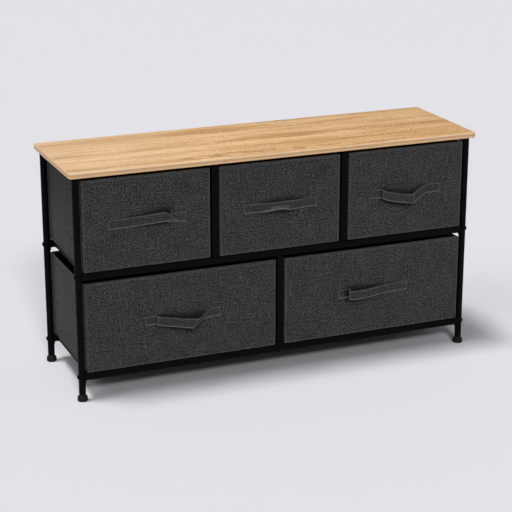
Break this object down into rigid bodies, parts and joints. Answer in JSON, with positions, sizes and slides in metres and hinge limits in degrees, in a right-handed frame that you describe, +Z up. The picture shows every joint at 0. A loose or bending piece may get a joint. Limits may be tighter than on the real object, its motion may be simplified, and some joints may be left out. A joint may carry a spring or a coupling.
{
  "type": "fabric drawer dresser",
  "caption": "Low wide dresser: black steel tube frame, oak-look top board, cloth drawers that slide out in two rows, strap handles and screw-in feet.",
  "frame": {"origin": "on the floor, in the middle of the whole footprint with the handles", "axes": "+X to the right along the width, +Y to the rear, +Z up; the drawers open towards -Y"},
  "size_m": [1, 0.3079, 0.535],
  "materials": {
    "oak_laminate": "oak-look printed laminate, satin",
    "black_steel": "matt black powder coat",
    "charcoal_cloth": "charcoal melange woven cloth",
    "fibreboard": "thin fibreboard wrapped in dark nonwoven cloth",
    "black_plastic": "moulded black plastic",
    "zinc_steel": "bright zinc-plated steel"
  },
  "bodies": {
    "frame": {"board_screws": "zinc_steel", "divider_bolts": "black_steel", "foot_sockets": "black_plastic", "front_left_post": "black_steel", "front_right_post": "black_steel", "left_divider_front": "black_steel", "left_divider_rear": "black_steel", "left_divider_top_bar": "black_steel", "left_top_bar": "black_steel", "lower_crossbar_1": "black_steel", "lower_crossbar_2": "black_steel", "lower_crossbar_3": "black_steel", "lower_crossbar_4": "black_steel", "lower_divider_front": "black_steel", "lower_divider_rear": "black_steel", "lower_front_rail": "black_steel", "lower_rear_rail": "black_steel", "middle_crossbar_1": "black_steel", "middle_crossbar_2": "black_steel", "middle_crossbar_3": "black_steel", "middle_crossbar_4": "black_steel", "middle_crossbar_5": "black_steel", "middle_crossbar_6": "black_steel", "middle_front_rail": "black_steel", "middle_rear_rail": "black_steel", "rail_bolts": "black_steel", "rail_saddles": "black_steel", "rear_left_post": "black_steel", "rear_right_post": "black_steel", "right_divider_front": "black_steel", "right_divider_rear": "black_steel", "right_divider_top_bar": "black_steel", "right_top_bar": "black_steel", "threaded_plugs": "zinc_steel", "top_board": "oak_laminate"},
    "upper_left_drawer": {"upper_left_drawer_base": "fibreboard", "upper_left_drawer_bin": "charcoal_cloth", "upper_left_drawer_front": "charcoal_cloth", "upper_left_drawer_handle": "charcoal_cloth"},
    "upper_middle_drawer": {"upper_middle_drawer_base": "fibreboard", "upper_middle_drawer_bin": "charcoal_cloth", "upper_middle_drawer_front": "charcoal_cloth", "upper_middle_drawer_handle": "charcoal_cloth"},
    "upper_right_drawer": {"upper_right_drawer_base": "fibreboard", "upper_right_drawer_bin": "charcoal_cloth", "upper_right_drawer_front": "charcoal_cloth", "upper_right_drawer_handle": "charcoal_cloth"},
    "lower_left_drawer": {"lower_left_drawer_base": "fibreboard", "lower_left_drawer_bin": "charcoal_cloth", "lower_left_drawer_front": "charcoal_cloth", "lower_left_drawer_handle": "charcoal_cloth"},
    "lower_right_drawer": {"lower_right_drawer_base": "fibreboard", "lower_right_drawer_bin": "charcoal_cloth", "lower_right_drawer_front": "charcoal_cloth", "lower_right_drawer_handle": "charcoal_cloth"},
    "front_left_foot": {"front_left_foot": "black_plastic"},
    "front_right_foot": {"front_right_foot": "black_plastic"},
    "rear_left_foot": {"rear_left_foot": "black_plastic"},
    "rear_right_foot": {"rear_right_foot": "black_plastic"}
  },
  "joints": [
    {"name": "upper_left_drawer_slide", "type": "slide", "parent": "frame", "child": "upper_left_drawer", "axis": [0, -1, 0], "range_m": [0, 0.24]},
    {"name": "upper_middle_drawer_slide", "type": "slide", "parent": "frame", "child": "upper_middle_drawer", "axis": [0, -1, 0], "range_m": [0, 0.24]},
    {"name": "upper_right_drawer_slide", "type": "slide", "parent": "frame", "child": "upper_right_drawer", "axis": [0, -1, 0], "range_m": [0, 0.24]},
    {"name": "lower_left_drawer_slide", "type": "slide", "parent": "frame", "child": "lower_left_drawer", "axis": [0, -1, 0], "range_m": [0, 0.24]},
    {"name": "lower_right_drawer_slide", "type": "slide", "parent": "frame", "child": "lower_right_drawer", "axis": [0, -1, 0], "range_m": [0, 0.24]},
    {"name": "front_left_foot_screw", "type": "slide", "parent": "frame", "child": "front_left_foot", "axis": [0, 0, -1], "range_m": [0, 0.01]},
    {"name": "front_right_foot_screw", "type": "slide", "parent": "frame", "child": "front_right_foot", "axis": [0, 0, -1], "range_m": [0, 0.01]},
    {"name": "rear_left_foot_screw", "type": "slide", "parent": "frame", "child": "rear_left_foot", "axis": [0, 0, -1], "range_m": [0, 0.01]},
    {"name": "rear_right_foot_screw", "type": "slide", "parent": "frame", "child": "rear_right_foot", "axis": [0, 0, -1], "range_m": [0, 0.01]}
  ]
}
